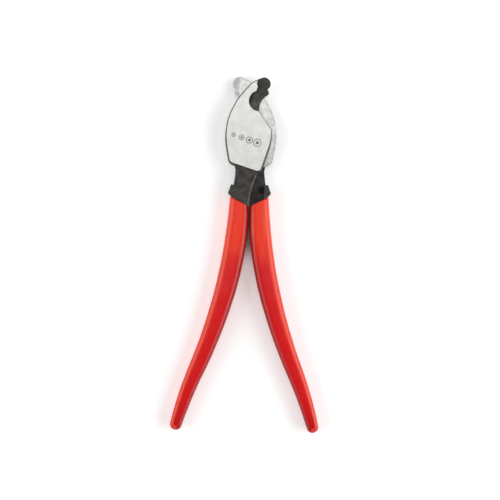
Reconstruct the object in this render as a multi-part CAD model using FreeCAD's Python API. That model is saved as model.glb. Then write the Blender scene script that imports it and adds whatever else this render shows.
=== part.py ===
"""One-hand cable cutter with a flip joint, lying flat on a bench.

Two forged steel levers of the same shape, one turned over on the other, share one flush rivet. Each lever is
a ground head with a hooked shear blade, a thinner black shank, a stop lug that stands as tall as both levers,
and a handle core dipped in red vinyl. All sizes are in millimetres. +Z is up and is the rivet's axis, +Y runs
towards the blade tips, and the origin is where the rivet's axis meets the bench under the rear head.

A lever is drawn in its own frame: the shear plane is z = 0, its head is above that plane, the rivet's axis is
the origin, and its handle leads off to -X. That is the front lever as it lies; the rear lever is the same
shape turned half a turn about Y.
"""

import FreeCAD
import Part
import math
import os

Vector = FreeCAD.Vector
OUT = "parts"

# Head
HEAD_T = 6.5            # shear plane to the ground outer face
SHEAR_GAP = 0.05        # running gap between the two heads' inner faces
DRAFT = 0.9             # how far the forged side wall leans in along the back, up to the ground face
REAR_DRAFT = 1.15       # the same lower down on both sides
BOTTOM_DRAFT = 1.6      # the same along the bottom
HEEL_DRAFT = 0.55       # the same from the cutting side's shoulder up to the cutting edge
WALL_LAND = 1.6         # upright stretch of that wall next to the shear plane
EDGE_BREAK = 0.2        # the inner face's outer edge is broken by this much

# Blade
EDGE_R = 9.8            # the hooked cutting edge is an arc
EDGE_C = (15.0, 14.05)
EDGE_START_DEG = 192.4  # its heel and its end, as directions from the arc's centre
EDGE_END_DEG = 120.0
EDGE_LAND = 0.5         # thickness left at the cutting edge
BEVEL_SLOPE = 0.5       # rise of the bevel per millimetre away from the edge
FLOOR = 3.2             # height of the hollow's flat floor above the shear plane
NECK_FLOOR = 2.8        # the same behind the small notch and in the round nose
KNOB_FLOOR = 2.5
HOLLOW_R = 6.8          # the hollow behind the cutting edge
HOLLOW_C = (5.1, 18.85)
NECK_R = 3.5            # the hollow behind the small notch
NECK_C = (6.7, 25.6)
KNOB_R = 4.3            # the round nose at the blade's tip
KNOB_C = (7.95, 30.2)
KNOB_HOLLOW = 0.3       # its hollow is this much wider
RELIEF_U = 8.2          # beyond here the nose is ground back from the shear plane
RELIEF_FROM = 20.0
RELIEF_DEG = 13.0

# Rivet
RIVET_R = 5.0
RIVET_HEAD_R = 7.0
RIVET_SINK = 2.2        # depth of the countersunk heads
RUN_CLEAR = 0.02        # running clearance in the lever that turns on the rivet

# Shank
SHANK_TOP = 5.15        # its outer face, below the ground face
SHANK_RELIEF = 0.8      # its inner face, back from the shear plane
SHANK_ROUND = 1.0

# Stop lug
LUG_DEG = 18.8          # the radial face on which two lugs meet, from the tool's centre line
LUG_R0 = 37.4
LUG_R1 = 43.6
LUG_HALF = 5.0          # the lug reaches this far on both sides of the shear plane
LUG_EDGE = 0.4

# Handle core and its vinyl
DIP = 1.2               # thickness of the vinyl
GRIP_HALF = 6.5         # half thickness of the dipped handle, so that it lies level with the head
GRIP_TIP_HALF = 4.7     # the same at the handle's end
GRIP_ROUND = 3.6        # rounding of the dipped handle's long edges
CORE_ROUND = 2.4
HANDLE_START = (-6.5, -46.5)   # middle of the dipped handle at the vinyl's upper edge
HANDLE_START_DEG = 1.1  # its lean there, away from the tool's centre line
BENDS = ((256.0, 14.5), (350.0, 23.2), (-280.0, 15.3))     # radius of each bend, and the lean it ends at
HALF_WIDTHS = (6.2, 7.2, 7.0, 6.25, 5.5, 4.9, 3.9)     # at the start, and at each bend's middle and end
HANDLE_RISE = 12.0      # how far the outline is carried above the start, to be cut off at the slanted edge
TAPER_FROM = 0.42       # share of the handle's length where it begins to thin
DIP_LINE_DEG = -24.5    # slope of the vinyl's upper edge, seen from above
CORE_SHOW = 0.4         # bare core above the vinyl's edge


def on_circle(centre, radius, degrees):
    a = math.radians(degrees)
    return (centre[0] + radius * math.cos(a), centre[1] + radius * math.sin(a))


def from_pivot(radius, degrees):
    """A point this many degrees from straight down, on the handle's side."""
    a = math.radians(degrees)
    return (-radius * math.sin(a), -radius * math.cos(a))


def line(a, b):
    return Part.LineSegment(Vector(*a, 0), Vector(*b, 0)).toShape()


def arc(a, middle, b):
    return Part.Arc(Vector(*a, 0), Vector(*middle, 0), Vector(*b, 0)).toShape()


def rounded(corners):
    """Straight runs from the first corner to the last, with a tangent arc of each corner's radius between them."""
    edges = []
    here = Vector(corners[0][0], corners[0][1], 0)
    for before, corner, after in zip(corners, corners[1:], corners[2:]):
        point = Vector(corner[0], corner[1], 0)
        back = (Vector(before[0], before[1], 0) - point).normalize()
        ahead = (Vector(after[0], after[1], 0) - point).normalize()
        half = back.getAngle(ahead) / 2
        radius = corner[2]
        if radius:
            reach = radius / math.tan(half)
            middle = point + (back + ahead).normalize() * (radius / math.sin(half) - radius)
            edges.append(Part.LineSegment(here, point + back * reach).toShape())
            edges.append(Part.Arc(point + back * reach, middle, point + ahead * reach).toShape())
            here = point + ahead * reach
        else:
            edges.append(Part.LineSegment(here, point).toShape())
            here = point
    edges.append(Part.LineSegment(here, Vector(corners[-1][0], corners[-1][1], 0)).toShape())
    return edges


def slab(edges, z0, z1):
    """The solid over a closed outline, between two heights."""
    face = Part.Face(Part.Wire(Part.__sortEdges__(edges)))
    face.translate(Vector(0, 0, z0))
    return face.extrude(Vector(0, 0, z1 - z0))


def closed(corners):
    """A closed outline of rounded corners, which starts and ends halfway along its last side."""
    (x0, y0, _), (x1, y1, _) = corners[0], corners[-1]
    middle = ((x0 + x1) / 2, (y0 + y1) / 2, 0)
    return rounded([middle] + corners + [middle])


def lies_at(edge, z):
    box = edge.BoundBox
    return abs(box.ZMin - z) < 1e-4 and abs(box.ZMax - z) < 1e-4


# ---------------------------------------------------------------- head and blade

NOSE_BACK_DEG = 125.0   # where the blade's back runs into the round nose
NOSE_END_DEG = -43.0    # where the round nose ends in the notch
LOBE_TOP = (10.8, 25.7)


def head_corners():
    """The head's forged outline with the blade's side left open: x, y, radius, and the draft of the next side."""
    return [
        (13.5, 36.85, 0, DRAFT),
        (2.6, 32.6, 9.0, DRAFT),
        (-0.6, 30.4, 9.0, DRAFT),
        (-8.9, 20.9, 40.0, DRAFT),
        (-15.3, 8.6, 34.0, DRAFT),
        (-17.0, -5.6, 38.0, REAR_DRAFT),
        (-14.0, -22.35, 5.0, BOTTOM_DRAFT),
        (6.95, -29.0, 3.5, REAR_DRAFT),
        (13.75, -8.2, 24.0, HEEL_DRAFT),
        (13.65, 0.4, 4.0, HEEL_DRAFT),
        (*on_circle(EDGE_C, EDGE_R, EDGE_START_DEG), 0, 0),
        (28.0, 22.0, 0, 0),
    ]


def leant_in(corners):
    """The same outline at the ground face: each side is moved in by its draft."""
    moved = []
    for (x0, y0, _, draft), (x1, y1, _, _) in zip(corners, corners[1:] + corners[:1]):
        run = Vector(x1 - x0, y1 - y0, 0).normalize()
        moved.append((x0 - run.y * draft, y0 + run.x * draft, run))
    result = []
    for (px, py, d), (qx, qy, e), corner in zip(moved[-1:] + moved[:-1], moved, corners):
        along = ((qx - px) * e.y - (qy - py) * e.x) / (d.x * e.y - d.y * e.x)
        result.append((px + along * d.x, py + along * d.y, max(corner[2] - corner[3], 0)))
    return result


def mouth():
    """What is cut away in front of the hooked edge, the lobe, the notch and the round nose."""
    start = on_circle(EDGE_C, EDGE_R, EDGE_START_DEG)
    end = on_circle(EDGE_C, EDGE_R, EDGE_END_DEG)
    nose_end = on_circle(KNOB_C, KNOB_R, NOSE_END_DEG)
    nose_back = on_circle(KNOB_C, KNOB_R, NOSE_BACK_DEG)
    above_nose = (nose_back[0], 45.0)
    return slab(
        [
            arc(start, on_circle(EDGE_C, EDGE_R, (EDGE_START_DEG + EDGE_END_DEG) / 2), end),
            arc(end, (11.25, 24.2), LOBE_TOP),
            arc(LOBE_TOP, (10.45, 26.5), nose_end),
            arc(nose_end, on_circle(KNOB_C, KNOB_R, (NOSE_BACK_DEG + NOSE_END_DEG) / 2), nose_back),
            line(nose_back, above_nose),
            line(above_nose, (40.0, 45.0)),
            line((40.0, 45.0), (40.0, start[1])),
            line((40.0, start[1]), start),
        ],
        -1, HEAD_T + 1,
    )


def make_head():
    """The broken inner edge, the upright land and the leaning wall above it, with the blade's mouth cut out."""
    corners = head_corners()
    broken = [(x, y, radius, min(draft, EDGE_BREAK)) for x, y, radius, draft in corners]
    heights = (SHEAR_GAP / 2, SHEAR_GAP / 2 + EDGE_BREAK, WALL_LAND, HEAD_T)
    foot = [corner[:3] for corner in corners]
    wires = [
        Part.Wire(closed(outline)).translated(Vector(0, 0, z))
        for outline, z in zip((leant_in(broken), foot, foot, leant_in(corners)), heights)
    ]
    layers = [Part.makeLoft([lower, upper], True, True) for lower, upper in zip(wires, wires[1:])]
    return layers[0].fuse(layers[1:]).cut(mouth())


def blade_hollow():
    """The black hollow behind the working outline: a flat floor, and a cone that bevels the hooked edge."""
    top = HEAD_T + 3
    far = 25.0
    heel = HOLLOW_C[1] - HOLLOW_R

    def area(z0):
        open_side = slab(
            closed([
                (*HOLLOW_C, 0), (HOLLOW_C[0], heel, 0), (far, heel, 0), (far, 40.0, 0), (KNOB_C[0], 40.0, 0),
                (*KNOB_C, 0), (*NECK_C, 0),
            ]),
            z0, top,
        )
        discs = (
            (HOLLOW_C, HOLLOW_R, z0),
            (NECK_C, NECK_R, min(z0, NECK_FLOOR)),
            (KNOB_C, KNOB_R + KNOB_HOLLOW, min(z0, KNOB_FLOOR)),
        )
        passes = [Part.makeCylinder(r, top - low, Vector(*c, low)) for c, r, low in discs]
        return open_side.fuse(passes).removeSplitter()

    rise = top - EDGE_LAND
    cone = Part.makeCone(EDGE_R, EDGE_R + rise / BEVEL_SLOPE, rise, Vector(*EDGE_C, EDGE_LAND))
    return area(FLOOR).fuse(area(EDGE_LAND).common(cone))


def nose_relief():
    """The wedge ground off the nose's inner face, so that two noses slide past each other."""
    wedge = Part.makeBox(30, 30, 10, Vector(0, 0, -10))
    wedge.rotate(Vector(0, 0, 0), Vector(0, 1, 0), -RELIEF_DEG)
    wedge.translate(Vector(RELIEF_U, RELIEF_FROM, SHEAR_GAP / 2))
    return wedge


# ---------------------------------------------------------------- shank and stop lug

def make_shank():
    """The thin black stretch between head and handle, with rounded long edges."""
    edges = [
        line((-10.6, -20.0), (-9.4, -26.5)),
        arc((-9.4, -26.5), (-9.9, -32.0), (-11.6, -41.0)),
        line((-11.6, -41.0), (-11.6, -52.0)),
        line((-11.6, -52.0), (-1.3, -52.0)),
        line((-1.3, -52.0), (-0.6, -47.6)),
        arc((-0.6, -47.6), (1.3, -38.6), (5.1, -27.6)),
        line((5.1, -27.6), (7.0, -20.0)),
        line((7.0, -20.0), (-10.6, -20.0)),
    ]
    shank = slab(edges, SHANK_RELIEF, SHANK_TOP)
    long_rim = [
        e for e in shank.Edges
        if lies_at(e, SHANK_TOP) and abs(e.tangentAt(e.FirstParameter).y) > 0.5
    ]
    return shank.makeFillet(SHANK_ROUND, long_rim)


def make_lug():
    inner = (-9.6, -36.1, 0)
    lug = slab(
        closed([
            inner,
            (*from_pivot(LUG_R0, LUG_DEG), 0.8),
            (*from_pivot(LUG_R1, LUG_DEG), 0.8),
            (-12.1, -43.4, 0),
            (-10.9, -47.0, 0),
            (-9.6, -47.0, 0),
        ]),
        -LUG_HALF, LUG_HALF,
    )
    rim = [e for e in lug.Edges if lies_at(e, -LUG_HALF) or lies_at(e, LUG_HALF)]
    return lug.makeChamfer(LUG_EDGE, rim)


# ---------------------------------------------------------------- handle

def handle_stations():
    """The dipped handle's middle line as (x, y, lean): its start, then the middle and the end of each bend."""
    x, y = HANDLE_START
    lean = math.radians(HANDLE_START_DEG)
    stations = [(x, y, lean)]
    for radius, end_deg in BENDS:
        end = math.radians(end_deg)
        for a in ((lean + end) / 2, end):
            across = radius * (math.cos(lean) - math.cos(a))
            down = radius * (math.sin(a) - math.sin(lean))
            stations.append((x - across, y - down, a))
        x, y, lean = stations[-1]
    return stations


def handle_outline(inset):
    """The dipped handle seen from above, or its steel core when inset by the vinyl's thickness."""
    stations = handle_stations()
    x, y, lean = stations[0]
    above = (x + HANDLE_RISE * math.sin(lean), y + HANDLE_RISE * math.cos(lean), lean)

    def side(sign):
        points = []
        for (px, py, a), half in zip([above] + stations, HALF_WIDTHS[:1] + HALF_WIDTHS):
            out = sign * (half - inset)
            points.append((px - out * math.cos(a), py + out * math.sin(a)))
        edges = [line(points[0], points[1])]
        for i in range(1, len(points) - 2, 2):
            edges.append(arc(points[i], points[i + 1], points[i + 2]))
        return points, edges

    outer, outer_edges = side(1)
    inner, inner_edges = side(-1)
    x, y, lean = stations[-1]
    tip = HALF_WIDTHS[-1] - inset
    nose = arc(outer[-1], (x - tip * math.sin(lean), y - tip * math.cos(lean)), inner[-1])
    return outer_edges + [nose] + inner_edges + [line(inner[0], outer[0])]


def handle_solid(inset, rounding):
    """A handle as thick as both levers, thinner towards its end, with rounded long edges."""
    low = handle_stations()[-1][1] - HALF_WIDTHS[-1]
    high = HANDLE_START[1] + 2 * HANDLE_RISE
    taper = HANDLE_START[1] + TAPER_FROM * (low - HANDLE_START[1])
    half = GRIP_HALF - inset
    tip = GRIP_TIP_HALF - inset
    flat = slab(handle_outline(inset), -half, half)
    profile = [(high, half), (taper, half), (low, tip), (low, -tip), (taper, -half), (high, -half)]
    points = [Vector(-70, y, z) for y, z in profile]
    side_view = Part.Face(Part.makePolygon(points + points[:1])).extrude(Vector(90, 0, 0))
    solid = flat.common(side_view)
    long_edges = [
        e for e in solid.Edges
        if abs(e.CenterOfMass.z) > tip - 0.5 and abs(e.tangentAt(e.FirstParameter).y) > 0.2
    ]
    return solid.makeFillet(rounding, long_edges)


def below_dip_line(lift):
    """Everything on the handle's side of the vinyl's slanted upper edge, or of a line above it."""
    block = Part.makeBox(200, 300, 60, Vector(-100, -300, -30))
    block.rotate(Vector(0, 0, 0), Vector(0, 0, 1), DIP_LINE_DEG)
    block.translate(Vector(HANDLE_START[0], HANDLE_START[1] + lift, 0))
    return block


# ---------------------------------------------------------------- the five pieces

def rivet_profile(clearance):
    """The rivet from the shear plane outwards, or its hole, which is wider by the clearance all round."""
    flare = (RIVET_HEAD_R - RIVET_R) / RIVET_SINK
    widen = clearance * math.sqrt(1 + flare * flare)
    neck = HEAD_T - RIVET_SINK - (widen - clearance) / flare
    over = 1.0 if clearance else 0.0
    points = [
        Vector(0, 0, -over),
        Vector(RIVET_R + clearance, 0, -over),
        Vector(RIVET_R + clearance, 0, neck),
        Vector(RIVET_HEAD_R + widen + flare * over, 0, HEAD_T + over),
        Vector(0, 0, HEAD_T + over),
    ]
    profile = Part.Face(Part.makePolygon(points + points[:1]))
    return profile.revolve(Vector(0, 0, 0), Vector(0, 0, 1), 360)


def make_rivet():
    """A solid rivet, spread into both countersinks and ground flush."""
    upper = rivet_profile(0.0)
    lower = rivet_profile(0.0)
    lower.rotate(Vector(0, 0, 0), Vector(0, 1, 0), 180)
    return upper.fuse(lower).removeSplitter()


def make_lever(hole_clearance):
    handle_side = below_dip_line(CORE_SHOW)
    core = handle_solid(DIP, CORE_ROUND).common(handle_side)
    lever = make_head().fuse([make_shank().fuse(make_lug()).cut(handle_side), core]).removeSplitter()
    return lever.cut([blade_hollow(), nose_relief(), rivet_profile(hole_clearance)])


def make_grip(lever):
    return handle_solid(0.0, GRIP_ROUND).common(below_dip_line(0.0)).cut(lever)


def as_front(shape):
    placed = shape.copy()
    placed.translate(Vector(0, 0, HEAD_T))
    return placed


def as_rear(shape):
    placed = shape.copy()
    placed.rotate(Vector(0, 0, 0), Vector(0, 1, 0), 180)
    placed.translate(Vector(0, 0, HEAD_T))
    return placed


front = make_lever(0.0)
rear = make_lever(RUN_CLEAR)
nodes = {
    "front_lever": as_front(front),
    "front_grip": as_front(make_grip(front)),
    "rear_lever": as_rear(rear),
    "rear_grip": as_rear(make_grip(rear)),
    "pivot_rivet": as_front(make_rivet()),
}
os.makedirs(OUT, exist_ok=True)
for name, shape in nodes.items():
    solids = len(shape.Solids)
    print(name, solids, "solid", "valid" if shape.isValid() else "NOT VALID", round(shape.Volume), "mm3")
    shape.exportStep(os.path.join(OUT, name + ".step"))
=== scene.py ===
import math
import bpy
import numpy as np
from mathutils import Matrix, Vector


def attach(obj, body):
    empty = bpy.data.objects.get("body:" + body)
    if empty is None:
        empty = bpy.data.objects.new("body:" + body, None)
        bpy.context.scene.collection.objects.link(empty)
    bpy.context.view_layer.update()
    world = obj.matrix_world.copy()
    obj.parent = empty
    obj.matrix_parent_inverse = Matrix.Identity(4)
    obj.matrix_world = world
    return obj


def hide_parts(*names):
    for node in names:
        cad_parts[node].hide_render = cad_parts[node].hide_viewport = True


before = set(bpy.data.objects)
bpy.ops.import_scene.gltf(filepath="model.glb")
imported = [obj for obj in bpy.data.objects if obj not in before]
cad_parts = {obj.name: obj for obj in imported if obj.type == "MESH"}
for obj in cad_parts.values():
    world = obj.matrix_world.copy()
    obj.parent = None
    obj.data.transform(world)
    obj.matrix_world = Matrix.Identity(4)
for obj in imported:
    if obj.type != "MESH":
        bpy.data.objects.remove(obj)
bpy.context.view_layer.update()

MM = 0.001


# ------------------------------------------------------------------ bench and light
# The cutter lies flat on a white bench and is looked at from straight above. A softbox hangs over the
# jaws and the upper half of the grips, and a large one stands low at each side and draws the bands
# along the grips' shoulders. The right one is the brighter.

VIEW_CENTRE = (1.25 * MM, -78.0 * MM)
VIEW_TURN = 1.3             # degrees that the camera is turned about its own axis
CAMERA_HEIGHT = 1.5
FOCUS_HEIGHT = 9.5 * MM     # where the picture's scale holds
PICTURE_WIDTH = 325.0 * MM
SENSOR = 36.0
SLIT_CENTRE = (0.0, -62.0 * MM, 0.0)
SLIT_SPREAD = (1.0, 2.2, 1.0)           # the painted shade in the slit reaches this much further along the grips
SLIT_PAINTED_SHADE = (5.0 * MM, 13.0 * MM)        # painted shade within the first distance, full painted glow beyond the second
# strength of the bench's painted glow
BENCH_PAINTED_GLOW = 0.3
BENCH_HALF = 3.0
BENCH_GAP = 0.2 * MM


def linear(code, alpha=1.0):
    """An sRGB hex colour as linear light."""
    parts = [int(code[i:i + 2], 16) / 255 for i in (1, 3, 5)]
    return (*[c / 12.92 if c <= 0.04045 else ((c + 0.055) / 1.055) ** 2.4 for c in parts], alpha)


def add(tree, kind, inputs=(), **settings):
    """A node with its settings. An input is a value or another node's output, where a node stands for its
    first output."""
    node = tree.nodes.new("ShaderNode" + kind)
    for name, value in settings.items():
        setattr(node, name, value)
    for socket, given in dict(inputs).items():
        if isinstance(given, bpy.types.Node):
            given = given.outputs[0]
        if isinstance(given, bpy.types.NodeSocket):
            tree.links.new(given, node.inputs[socket])
        else:
            node.inputs[socket].default_value = given
    return node


def new_material(name):
    material = bpy.data.materials.new(name)
    material.use_nodes = True
    material.node_tree.nodes.clear()
    return material, material.node_tree


camera = bpy.data.cameras.new("camera")
camera.sensor_width = SENSOR
camera.lens = SENSOR * (CAMERA_HEIGHT - FOCUS_HEIGHT) / PICTURE_WIDTH
camera.clip_start = 0.01
camera_object = bpy.data.objects.new("camera", camera)
camera_object.location = (*VIEW_CENTRE, CAMERA_HEIGHT)
camera_object.rotation_euler = (0, 0, math.radians(VIEW_TURN))
bpy.context.scene.collection.objects.link(camera_object)
bpy.context.scene.camera = camera_object
bpy.context.scene.view_settings.view_transform = "Standard"


def softbox(name, place, aim, width, height, radiance):
    """A flat lamp whose face looks at a point and has this much light over the whole of it."""
    lamp = bpy.data.lights.new(name, "AREA")
    lamp.shape = "RECTANGLE"
    lamp.size = width
    lamp.size_y = height
    lamp.energy = radiance * math.pi * width * height
    lamp_object = bpy.data.objects.new(name, lamp)
    lamp_object.location = place
    lamp_object.rotation_euler = (Vector(aim) - Vector(place)).to_track_quat("-Z", "Y").to_euler()
    bpy.context.scene.collection.objects.link(lamp_object)


softbox("overhead", (0.05, 0.56, 1.8), (0.05, 0.56, 0.0), 1.0, 1.3, 1.35)
softbox("left", (-1.1, -0.1, 0.75), (0.0, -0.08, 0.0), 1.5, 1.1, 2.1)
softbox("right", (1.1, -0.1, 0.75), (0.0, -0.08, 0.0), 1.5, 1.1, 2.9)

world = bpy.data.worlds.new("studio")
world.use_nodes = True
background = world.node_tree.nodes["Background"]
background.inputs["Color"].default_value = (1, 1, 1, 1)
background.inputs["Strength"].default_value = 0.17
bpy.context.scene.world = world

bench_mesh = bpy.data.meshes.new("bench")
corners = [(x * BENCH_HALF, y * BENCH_HALF, -BENCH_GAP) for x, y in ((-1, -1), (1, -1), (1, 1), (-1, 1))]
bench_mesh.from_pydata(corners, [], [(0, 1, 2, 3)])
bench = bpy.data.objects.new("bench", bench_mesh)
bpy.context.scene.collection.objects.link(bench)
bench_paint, tree = new_material("white bench paint")
# painted light: the bench glows a little of its own, though it is no lamp, which keeps the shadows on it
# faint;
# the glow is left out in the slit between the grips, which gives a painted shade there
place = add(tree, "TexCoord").outputs["Object"]
from_slit = add(
    tree, "Mapping", {"Vector": place, "Location": SLIT_CENTRE, "Scale": SLIT_SPREAD}, vector_type="TEXTURE",
)
distance = add(tree, "VectorMath", {0: from_slit}, operation="LENGTH").outputs["Value"]
painted_glow = add(
    tree, "MapRange",
    {"Value": distance, "From Min": SLIT_PAINTED_SHADE[0], "From Max": SLIT_PAINTED_SHADE[1], "To Max": BENCH_PAINTED_GLOW},
    interpolation_type="SMOOTHSTEP",
)
paint = add(tree, "BsdfPrincipled", {
    "Base Color": linear("#f6f6f6"), "Roughness": 0.7,
    "Emission Color": (1, 1, 1, 1), "Emission Strength": painted_glow,
})
add(tree, "OutputMaterial", {"Surface": paint})
bench_mesh.materials.append(bench_paint)


# ------------------------------------------------------------------ levers
# Two forgings of medium-carbon steel, hardened and blacked. The heads' outer faces and the faces that
# slide on each other are ground bright after blacking. Shank, lug, blade hollow and side walls stay black.

SHEAR_PLANE = 6.5 * MM
HEAD_THICK = 6.5 * MM
GROUND_DEPTH = 0.06 * MM    # how deep below the outer face still counts as ground
INNER_DEPTH = 0.12 * MM     # the same at the shear plane
FACES_INWARD = -0.9         # the inner face's normal, seen from the outer side, is below this
HEAD_END = -29.5 * MM       # nothing is ground below the head
LOW_DARKENING_REACH = (-13.0 * MM, -21.0 * MM)  # the rear's inner face gets darker between these, towards the shank
LOW_DARKENING = 0.3

NOSE_FROM = 19.5 * MM       # beyond this the nose's inner face is ground at a slant
RELIEF_FROM = 8.2 * MM      # out from here the nose's inner face is ground back
# painted shade: the leaning relief facet is coloured darker
RELIEF_PAINTED_SHADE = 0.14
CORNER_REACH = (0.7 * MM, 0.1 * MM)     # a darker line along the relief's corner
CORNER_DARKENING = 0.3
NOSE_RIM = (10.9 * MM, 12.1 * MM)       # its outermost rim is darker still
RIM_DARKENING = 0.2

SHANK_RIM = 3.9 * MM        # above this height the shank's long edges are rounded and carry a painted highlight
RIM_LEANS = (0.95, 0.75)    # the rounding's normal: flat on top, and where the painted highlight is strongest
RIM_PAINTED_HIGHLIGHT = 0.55
LUG_FOOT = (8.3 * MM, -39.0 * MM)       # corner between shank and lug, where the lug's shadow is painted
LUG_SHADOW_REACH = (3.3 * MM, 1.9 * MM)
LUG_SHADOW_HEIGHT = 2.0 * MM       # on both sides of the shear plane
LUG_SHADOW = 0.9

MARK_CENTRE = (-3.3 * MM, -5.9 * MM)
MARK_TILT = -18.0           # degrees
MARK_RINGS = (1.2, 1.6, 2.0, 2.4)       # radii in millimetres: the cable sizes that the jaws take
MARK_STEP = 5.4 * MM
MARK_LINE = 0.24 * MM       # half the width of a line
MARK_CORE = 0.45            # the solid middle's share of the ring


def etched_rings(tree, place):
    """A row of rings with solid middles, as cable ends of growing size: 1 on a line, 0 beside it."""
    turned = add(
        tree, "Mapping",
        {"Vector": place, "Location": (*MARK_CENTRE, 0), "Rotation": (0, 0, math.radians(MARK_TILT))},
        vector_type="TEXTURE",
    )
    flat = add(tree, "VectorMath", {0: turned, 1: (1, 1, 0)}, operation="MULTIPLY")
    lines = 0.0
    for i, radius in enumerate(MARK_RINGS):
        centre = ((i - (len(MARK_RINGS) - 1) / 2) * MARK_STEP, 0, 0)
        distance = add(tree, "VectorMath", {0: flat, 1: centre}, operation="DISTANCE").outputs["Value"]
        beyond = add(tree, "Math", {0: distance, 1: radius * MM}, operation="SUBTRACT")
        off_ring = add(tree, "Math", {0: beyond}, operation="ABSOLUTE")
        ring = add(tree, "Math", {0: off_ring, 1: MARK_LINE}, operation="LESS_THAN")
        core = add(tree, "Math", {0: distance, 1: MARK_CORE * radius * MM}, operation="LESS_THAN")
        both = add(tree, "Math", {0: ring, 1: core}, operation="MAXIMUM")
        lines = add(tree, "Math", {0: lines, 1: both}, operation="MAXIMUM")
    return lines


def ground_steel(tree, place, dark, light, darkening):
    """Ground steel: cool bright grey with soft clouds of 5 mm and fine lines, darker where the darkening mask
    is 1.
    """
    # straight grinding lines across the head, about 0.2 mm apart, drawn at 0.35 mm
    across = add(
        tree, "Mapping", {"Vector": place, "Scale": (240, 2900, 240), "Rotation": (0, 0, math.radians(62))},
    )
    grain = add(tree, "TexNoise", {"Vector": across, "Scale": 1.0, "Detail": 4.0, "Roughness": 0.6})
    cloud = add(tree, "TexNoise", {"Vector": place, "Scale": 210.0, "Detail": 4.0, "Roughness": 0.6})
    patch = add(tree, "MapRange", {"Value": cloud, "From Min": 0.36, "From Max": 0.64})
    sheen = add(tree, "MapRange", {
        "Value": grain, "From Min": 0.3, "From Max": 0.7, "To Min": 0.3, "To Max": 0.4,
    })
    shade = add(tree, "MixRGB", {"Fac": patch, "Color1": linear(dark), "Color2": linear(light)})
    darkened = add(tree, "MixRGB", {"Fac": darkening, "Color1": shade, "Color2": linear("#77786f")})
    bump = add(tree, "Bump", {"Height": grain, "Strength": 0.12, "Distance": 0.02 * MM})
    return add(tree, "BsdfPrincipled", {
        "Metallic": 1.0, "Base Color": darkened, "Roughness": sheen, "Normal": bump,
    })


def rear_darkening(tree, xyz, nose):
    """Where the rear lever's inner face is darker: painted shade on the nose's relief, a darker corner and
    rim, and darker low down.
    """
    out = add(tree, "Math", {0: xyz["X"], 1: -1}, operation="MULTIPLY")
    # painted shade on the leaning relief facet
    on_relief = add(tree, "Math", {0: out, 1: RELIEF_FROM}, operation="GREATER_THAN")
    relief = add(tree, "Math", {0: on_relief, 1: RELIEF_PAINTED_SHADE}, operation="MULTIPLY")
    past_corner = add(tree, "Math", {0: out, 1: RELIEF_FROM}, operation="SUBTRACT")
    off_corner = add(tree, "Math", {0: past_corner}, operation="ABSOLUTE")
    corner = add(tree, "MapRange", {
        "Value": off_corner, "From Min": CORNER_REACH[0], "From Max": CORNER_REACH[1], "To Max": CORNER_DARKENING,
    })
    rim = add(tree, "MapRange", {
        "Value": out, "From Min": NOSE_RIM[0], "From Max": NOSE_RIM[1], "To Max": RIM_DARKENING,
    })
    outer = add(tree, "Math", {0: corner, 1: rim}, operation="MAXIMUM")
    nose_darkening = add(tree, "Math", {0: relief, 1: outer}, operation="MAXIMUM")
    on_nose = add(tree, "Math", {0: nose_darkening, 1: nose}, operation="MULTIPLY")
    low_darkening = add(tree, "MapRange", {
        "Value": xyz["Y"], "From Min": LOW_DARKENING_REACH[0], "From Max": LOW_DARKENING_REACH[1], "To Max": LOW_DARKENING,
    })
    return add(tree, "Math", {0: on_nose, 1: low_darkening}, operation="MAXIMUM")


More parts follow.
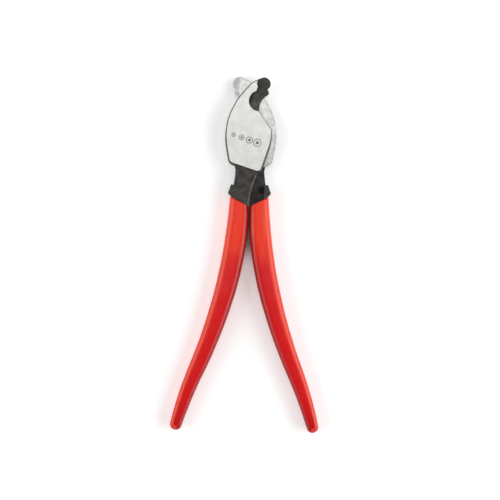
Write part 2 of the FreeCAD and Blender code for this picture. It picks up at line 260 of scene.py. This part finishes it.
def black_oxide(tree, place, xyz, height, outward, side):
    """Blacked forging: warm near-black, dull, with an oil film and forging scale, a painted highlight on the
    shank's rounded edges and a painted shadow at the lug's foot.
    """
    # pits of about 1 mm over a fine blasted grain
    pits = add(tree, "TexNoise", {"Vector": place, "Scale": 900.0, "Detail": 5.0, "Roughness": 0.62})
    oil = add(tree, "TexNoise", {"Vector": place, "Scale": 260.0, "Detail": 4.0, "Roughness": 0.65})
    streak = add(tree, "MapRange", {"Value": oil, "From Min": 0.35, "From Max": 0.68})
    soot = add(tree, "MixRGB", {"Fac": streak, "Color1": linear("#2b2927"), "Color2": linear("#4d4a47")})
    # painted highlight: the shank's rounded long edges are coloured light grey where they lean, for the light
    # that they catch
    high = add(tree, "Math", {0: height, 1: SHANK_RIM}, operation="GREATER_THAN")
    off_head = add(tree, "Math", {0: xyz["Y"], 1: HEAD_END}, operation="LESS_THAN")
    on_rim = add(tree, "Math", {0: high, 1: off_head}, operation="MULTIPLY")
    lean = add(tree, "MapRange", {
        "Value": outward, "From Min": RIM_LEANS[0], "From Max": RIM_LEANS[1], "To Max": RIM_PAINTED_HIGHLIGHT,
    })
    painted_highlight = add(tree, "Math", {0: on_rim, 1: lean}, operation="MULTIPLY")
    highlighted = add(tree, "MixRGB", {"Fac": painted_highlight, "Color1": soot, "Color2": linear("#8a8b89")})
    # painted shadow of the lug at its foot, on the wall beside the shear plane only
    level = add(tree, "VectorMath", {0: place, 1: (1, 1, 0)}, operation="MULTIPLY")
    foot = (-side * LUG_FOOT[0], LUG_FOOT[1], 0)
    from_foot = add(tree, "VectorMath", {0: level, 1: foot}, operation="DISTANCE").outputs["Value"]
    painted_shadow = add(
        tree, "MapRange",
        {"Value": from_foot, "From Min": LUG_SHADOW_REACH[0], "From Max": LUG_SHADOW_REACH[1], "To Max": LUG_SHADOW},
        interpolation_type="SMOOTHSTEP",
    )
    below = add(tree, "Math", {0: height, 1: LUG_SHADOW_HEIGHT}, operation="LESS_THAN")
    above = add(tree, "Math", {0: height, 1: -LUG_SHADOW_HEIGHT}, operation="GREATER_THAN")
    on_shank = add(tree, "Math", {0: below, 1: above}, operation="MULTIPLY")
    shadow_on_shank = add(tree, "Math", {0: painted_shadow, 1: on_shank}, operation="MULTIPLY")
    shadowed_black = add(tree, "MixRGB", {"Fac": shadow_on_shank, "Color1": highlighted, "Color2": linear("#060606")})
    dull = add(tree, "MapRange", {
        "Value": pits, "From Min": 0.3, "From Max": 0.7, "To Min": 0.42, "To Max": 0.6,
    })
    bump = add(tree, "Bump", {"Height": pits, "Strength": 0.5, "Distance": 0.1 * MM})
    return add(tree, "BsdfPrincipled", {
        "Specular IOR Level": 0.25, "Base Color": shadowed_black, "Roughness": dull, "Normal": bump,
    })


def forged_steel(name, side, dark, light):
    """Blacked forging, bright wherever it was ground. side is +1 for the front lever, -1 for the rear."""
    material, tree = new_material(name)
    place = add(tree, "TexCoord").outputs["Object"]
    xyz = add(tree, "SeparateXYZ", {"Vector": place}).outputs
    facing = add(tree, "SeparateXYZ", {"Vector": add(tree, "NewGeometry").outputs["Normal"]}).outputs
    # height over the shear plane, towards this lever's own outer face
    raised = add(tree, "Math", {0: xyz["Z"], 1: SHEAR_PLANE}, operation="SUBTRACT")
    height = add(tree, "Math", {0: raised, 1: side}, operation="MULTIPLY")
    outward = add(tree, "Math", {0: facing["Z"], 1: side}, operation="MULTIPLY")

    on_head = add(tree, "Math", {0: xyz["Y"], 1: HEAD_END}, operation="GREATER_THAN")
    outer = add(tree, "Math", {0: height, 1: HEAD_THICK - GROUND_DEPTH}, operation="GREATER_THAN")
    low = add(tree, "Math", {0: height, 1: INNER_DEPTH}, operation="LESS_THAN")
    nose = add(tree, "Math", {0: xyz["Y"], 1: NOSE_FROM}, operation="GREATER_THAN")
    at_inner = add(tree, "Math", {0: low, 1: nose}, operation="MAXIMUM")
    inward = add(tree, "Math", {0: outward, 1: FACES_INWARD}, operation="LESS_THAN")
    inner = add(tree, "Math", {0: at_inner, 1: inward}, operation="MULTIPLY")
    either = add(tree, "Math", {0: outer, 1: inner}, operation="MAXIMUM")
    ground = add(tree, "Math", {0: either, 1: on_head}, operation="MULTIPLY")

    if side > 0:
        upper = add(tree, "Math", {0: height, 1: 0.0}, operation="GREATER_THAN")
        darkening = add(tree, "Math", {0: etched_rings(tree, place), 1: upper}, operation="MULTIPLY")
    else:
        darkening = rear_darkening(tree, xyz, nose)
    bright = ground_steel(tree, place, dark, light, darkening)
    black = black_oxide(tree, place, xyz, height, outward, side)
    finish = add(tree, "MixShader", {0: ground, 1: black, 2: bright})
    add(tree, "OutputMaterial", {"Surface": finish})
    return material


for lever_name, side, dark, light in (
    ("front_lever", 1, "#dadad7", "#e6e7e3"), ("rear_lever", -1, "#c6c3c0", "#f2f1ee"),
):
    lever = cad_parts[lever_name]
    lever.data.materials.clear()
    lever.data.materials.append(
        forged_steel("blacked forging, " + lever_name.replace("_", " "), side, dark, light)
    )


# ------------------------------------------------------------------ rivet
# A soft steel rivet, hammered into both countersinks and ground flush with the heads, so that it is
# hard to see where it ends. It stays with the front lever, whose etched mark runs over its end.

rivet_steel, tree = new_material("ground rivet steel")
place = add(tree, "TexCoord").outputs["Object"]
height = add(tree, "SeparateXYZ", {"Vector": place}).outputs["Z"]
front_end = add(tree, "Math", {0: height, 1: SHEAR_PLANE}, operation="GREATER_THAN")
darkening = add(tree, "Math", {0: etched_rings(tree, place), 1: front_end}, operation="MULTIPLY")
steel = ground_steel(tree, place, "#dadad7", "#e6e7e3", darkening)
add(tree, "OutputMaterial", {"Surface": steel})
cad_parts["pivot_rivet"].data.materials.clear()
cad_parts["pivot_rivet"].data.materials.append(rivet_steel)


# ------------------------------------------------------------------ grips
# Red plastisol: the handle core is dipped hot in liquid vinyl and cured, which leaves a glossy coat of
# 1.2 mm with soft shoulders, a thin rounded lip along the slanted dip line and a round end.
# Lengths here are in millimetres, apart from the two limits that say so.

HANDLE_START = (-6.5, -46.5)
HANDLE_START_DEG = 1.1
BENDS = ((256.0, 14.5), (350.0, 23.2), (-280.0, 15.3))     # each bend's radius and its lean at the end
HALF_WIDTHS = (6.2, 7.2, 7.0, 6.25, 5.5, 4.9, 3.9)         # at the ends and the middles of the bends
HALF_THICK = 6.5
TIP_HALF_THICK = 4.7
TAPER_FROM = 0.42           # share of the length where the handle starts to get thinner
DIP_LINE_DEG = 24.5
SLANT_FADE = 6              # the higher, the sooner the sections stop following the slanted dip line
VINYL = 1.2
INNER_INSET = 0.15          # the coat's inner skin lies this much below the core's surface
INNER_DROP = 0.1            # and starts this much below the dip line
LIP = 0.8                   # rounding of the lip
LIP_INNER = (0.3, 0.02)     # the lip's inner edge: inset beyond the rounding, and drop
TIP_SHORT = 0.03            # the coat ends this much short of the handle's full length
SQUARENESS = 3.3            # exponent of the section: 2 is an ellipse, more is a squarer section
SKIN_SAG = 0.06             # the coat's mean waviness below the nominal surface
LONG_WAVE = 0.04
SHORT_WAVE = 0.02
AROUND = 128
ALONG = 260
LONG_PERIODS = (5.3, 23.0)  # the long wave runs along the handle and winds slowly round it
SHORT_PERIOD = 2.1
SMOOTH_TOP = 12             # the waves fade in over the first 1/12 of the length
UPPER_SHEEN_REACH = (-92.0 * MM, -70.0 * MM)    # in metres, where the painted sheen towards the dip line starts, and is full
DARK_TIP = (-176.0 * MM, -197.0 * MM)  # in metres, the same for the dark tip
LIP_ROWS = 7
CAP_ROWS = 16
SPINE_STEPS = 4001          # points along the middle line when it is summed
SPINE_MARGIN = (20.0, 10.0) # how far the middle line runs on, above and below

leans = np.radians([HANDLE_START_DEG] + [end for _, end in BENDS])
bend_lengths = [abs(radius) * abs(b - a) for (radius, _), a, b in zip(BENDS, leans, leans[1:])]
bend_ends = np.concatenate([[0.0], np.cumsum(bend_lengths)])
HANDLE_LENGTH = bend_ends[-1]
width_stations = np.interp(np.arange(len(HALF_WIDTHS)) / 2, np.arange(len(bend_ends)), bend_ends)
width_curve = np.polyfit(width_stations, HALF_WIDTHS, 4)


def middle_line(s):
    """The handle's middle at distance s below the dip line, and its lean there. The lean grows in proportion
    to the way along each bend, and the place is the running sum of the steps in the direction of the lean."""
    fine = np.linspace(-SPINE_MARGIN[0], HANDLE_LENGTH + SPINE_MARGIN[1], SPINE_STEPS)
    lean = np.interp(fine, bend_ends, leans)
    step = fine[1] - fine[0]
    across = np.concatenate([[0.0], np.cumsum((np.sin(lean[1:]) + np.sin(lean[:-1])) / 2 * step)])
    down = np.concatenate([[0.0], np.cumsum((np.cos(lean[1:]) + np.cos(lean[:-1])) / 2 * step)])
    across -= np.interp(0.0, fine, across)
    down -= np.interp(0.0, fine, down)
    x = HANDLE_START[0] - np.interp(s, fine, across)
    y = HANDLE_START[1] - np.interp(s, fine, down)
    return x, y, np.interp(s, fine, lean)


def grip_surface(rows, phase):
    """One skin of the dipped handle. Each row is (share of the length, run past the end, inset, lip drop).
    The section is a superellipse |a/w|^n + |z/h|^n = 1 set across the middle line, whose top row follows the
    slanted dip line. Below the lip it is drawn in by the sag and two slow sine waves, so highlights waver."""
    share, past, inset, drop = [column[:, None] for column in np.array(rows).T]
    around = np.linspace(0, 2 * np.pi, AROUND, endpoint=False)[None, :]
    c, z = np.cos(around), np.sin(around)
    reach = (np.abs(c) ** SQUARENESS + np.abs(z) ** SQUARENESS) ** (-1 / SQUARENESS)
    c, z = c * reach, z * reach
    length = np.clip(share, 0, 1) * HANDLE_LENGTH
    half = np.polyval(width_curve, np.clip(length, 0, HANDLE_LENGTH))
    taper = np.clip((share - TAPER_FROM) / (1 - TAPER_FROM), 0, 1)
    thick = HALF_THICK + (TIP_HALF_THICK - HALF_THICK) * taper
    slant = np.tan(np.radians(DIP_LINE_DEG - HANDLE_START_DEG))
    cap = np.sqrt(1 - np.clip(past, 0, 1) ** 2)
    out = (half - inset) * c * cap
    up = (thick - inset) * z * cap
    slanted = (1 - share) ** SLANT_FADE * slant * half * c
    s = length + past * (half - inset - TIP_SHORT) + drop - slanted
    wave = LONG_WAVE * np.sin(s / LONG_PERIODS[0] + phase) * np.sin(around * 2 + phase + s / LONG_PERIODS[1])
    wave = wave + SHORT_WAVE * np.sin(s / SHORT_PERIOD + 2 * phase)
    fade = np.clip(share * SMOOTH_TOP, 0, 1) * (1 - past) * (inset < 0.01)
    out = out - c * fade * (SKIN_SAG + wave)
    up = up - z * fade * (SKIN_SAG + wave)
    x, y, lean = middle_line(s)
    return np.stack([x - out * np.cos(lean), y + out * np.sin(lean), up], axis=-1)


def make_grip(name, node, body, turned, phase):
    """The outer skin from lip to tip and the inner skin back up, joined at the lip and closed at both tips."""
    shares = np.linspace(0, 1, ALONG)
    lip_turn = np.linspace(math.pi / 2, 0, LIP_ROWS)
    lip = [(0.0, 0.0, LIP * (1 - math.cos(a)), LIP * (1 - math.sin(a))) for a in lip_turn]
    cap = np.sin(np.linspace(0, np.pi / 2, CAP_ROWS))[1:-1]
    outer = lip + [(t, 0, 0, LIP * (1 - t)) for t in shares[1:]] + [(1, p, 0, 0) for p in cap]
    wall = VINYL + INNER_INSET
    inner = [(0.0, 0.0, LIP + LIP_INNER[0], LIP_INNER[1]), (0.0, 0.0, wall, INNER_DROP)]
    inner += [(t, 0, wall, INNER_DROP) for t in shares[8::8]] + [(1, p, wall, 0) for p in cap[::2]]
    inner_skin = grip_surface(inner[::-1], phase)
    outer_skin = grip_surface(outer, phase)
    rings = np.concatenate([inner_skin, outer_skin])
    x, y, _ = middle_line(np.array([HANDLE_LENGTH + HALF_WIDTHS[-1] - TIP_SHORT]))
    points = np.vstack([rings.reshape(-1, 3), inner_skin[0].mean(axis=0), (x[0], y[0], 0.0)]) * MM
    inner_tip = len(points) - 2
    outer_tip = len(points) - 1
    a = np.arange(AROUND)
    b = (a + 1) % AROUND
    first = np.arange(len(rings) - 1)[:, None] * AROUND
    quads = np.stack([first + a, first + b, first + AROUND + b, first + AROUND + a], axis=-1)
    quads = quads.reshape(-1, 4)
    last = (len(rings) - 1) * AROUND
    fans = [(inner_tip, int(j), int(i)) for i, j in zip(a, b)]
    fans += [(outer_tip, int(last + i), int(last + j)) for i, j in zip(a, b)]
    if turned:
        points = points * np.array([-1, 1, -1])
    points[:, 2] += SHEAR_PLANE
    mesh = bpy.data.meshes.new(name)
    mesh.from_pydata(points.tolist(), [], quads.tolist() + fans)
    mesh.polygons.foreach_set("use_smooth", np.ones(len(mesh.polygons), dtype=bool))
    mesh.update()
    grip = bpy.data.objects.new(name, mesh)
    bpy.context.scene.collection.objects.link(grip)
    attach(grip, body)
    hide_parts(node)
    return grip


red_vinyl, tree = new_material("dipped red plastisol")
place = add(tree, "TexCoord").outputs["Object"]
xyz = add(tree, "SeparateXYZ", {"Vector": place}).outputs
# painted light: towards the dip line the coat is coloured lighter and more orange, for the overhead softbox's
# sheen
upper_sheen = add(
    tree, "MapRange", {"Value": xyz["Y"], "From Min": UPPER_SHEEN_REACH[0], "From Max": UPPER_SHEEN_REACH[1]},
    interpolation_type="SMOOTHSTEP",
)
cloud = add(tree, "TexNoise", {"Vector": place, "Scale": 70.0, "Detail": 3.0, "Roughness": 0.6})
deep = add(tree, "MixRGB", {"Fac": cloud, "Color1": linear("#cf0a12"), "Color2": linear("#dd1014")})
coat = add(tree, "MixRGB", {"Fac": upper_sheen, "Color1": deep, "Color2": linear("#ee3014")})
# the tip is darker
tip = add(
    tree, "MapRange", {"Value": xyz["Y"], "From Min": DARK_TIP[0], "From Max": DARK_TIP[1], "To Max": 0.55},
    interpolation_type="SMOOTHSTEP",
)
with_dark_tip = add(tree, "MixRGB", {"Fac": tip, "Color1": coat, "Color2": linear("#a3060a")})
# painted light: the rounded shoulders are coloured lighter and more orange, for the side softboxes' light,
# most of all along the handle's outer side
facing = add(tree, "SeparateXYZ", {"Vector": add(tree, "TexCoord").outputs["Normal"]}).outputs
flatness = add(tree, "Math", {0: facing["Z"]}, operation="ABSOLUTE")
handle_side = add(tree, "Math", {0: xyz["X"]}, operation="SIGN")
outward = add(tree, "Math", {0: facing["X"], 1: handle_side}, operation="MULTIPLY")
off_face = add(tree, "MapRange", {"Value": flatness, "From Min": 0.999, "From Max": 0.96, "To Max": 0.85})
off_side = add(tree, "MapRange", {"Value": flatness, "From Min": 0.4, "From Max": 0.75})
rounded = add(tree, "Math", {0: off_face, 1: off_side}, operation="MULTIPLY")
outer_side = add(tree, "MapRange", {"Value": outward, "From Min": -0.05, "From Max": 0.05, "To Min": 0.1})
painted_shoulder_light = add(tree, "Math", {0: outer_side, 1: rounded}, operation="MULTIPLY")
drawn = add(tree, "MixRGB", {"Fac": painted_shoulder_light, "Color1": with_dark_tip, "Color2": linear("#f2482c")})
# painted shade: the sides that face each other at rest are coloured a deeper red, for the shade between the
# grips
painted_inner_shade = add(tree, "MapRange", {"Value": outward, "From Min": -0.1, "From Max": -0.6, "To Max": 0.75})
shaded = add(tree, "MixRGB", {"Fac": painted_inner_shade, "Color1": drawn, "Color2": linear("#9a0a10")})
# drain lines along the handle, 2 to 3 mm apart, over a soft orange peel; towards the dip line their light
# streaks are a painted highlight
runs = add(tree, "Mapping", {"Vector": place, "Scale": (420, 26, 420)})
drain = add(tree, "TexNoise", {"Vector": runs, "Scale": 1.0, "Detail": 2.0, "Roughness": 0.5})
streak_sheen = add(tree, "MapRange", {"Value": drain, "From Min": 0.58, "From Max": 0.72, "To Max": 0.45})
painted_streaks = add(tree, "Math", {0: streak_sheen, 1: upper_sheen}, operation="MULTIPLY")
coat_with_painted_light = add(tree, "MixRGB", {"Fac": painted_streaks, "Color1": shaded, "Color2": linear("#ff7a45")})
peel = add(tree, "TexNoise", {"Vector": place, "Scale": 420.0, "Detail": 2.0, "Roughness": 0.4})
soft_peel = add(tree, "Math", {0: peel, 1: 0.4}, operation="MULTIPLY")
surface = add(tree, "Math", {0: drain, 1: soft_peel}, operation="ADD")
bump = add(tree, "Bump", {"Height": surface, "Strength": 0.16, "Distance": 0.06 * MM})
vinyl = add(tree, "BsdfPrincipled", {
    "Roughness": 0.25, "IOR": 1.5, "Specular IOR Level": 0.38, "Base Color": coat_with_painted_light, "Normal": bump,
})
add(tree, "OutputMaterial", {"Surface": vinyl})

for name, node, body, turned, phase in (
    ("front_dip", "front_grip", "front", False, 0.4), ("rear_dip", "rear_grip", "rear", True, 2.3),
):
    make_grip(name, node, body, turned, phase).data.materials.append(red_vinyl)
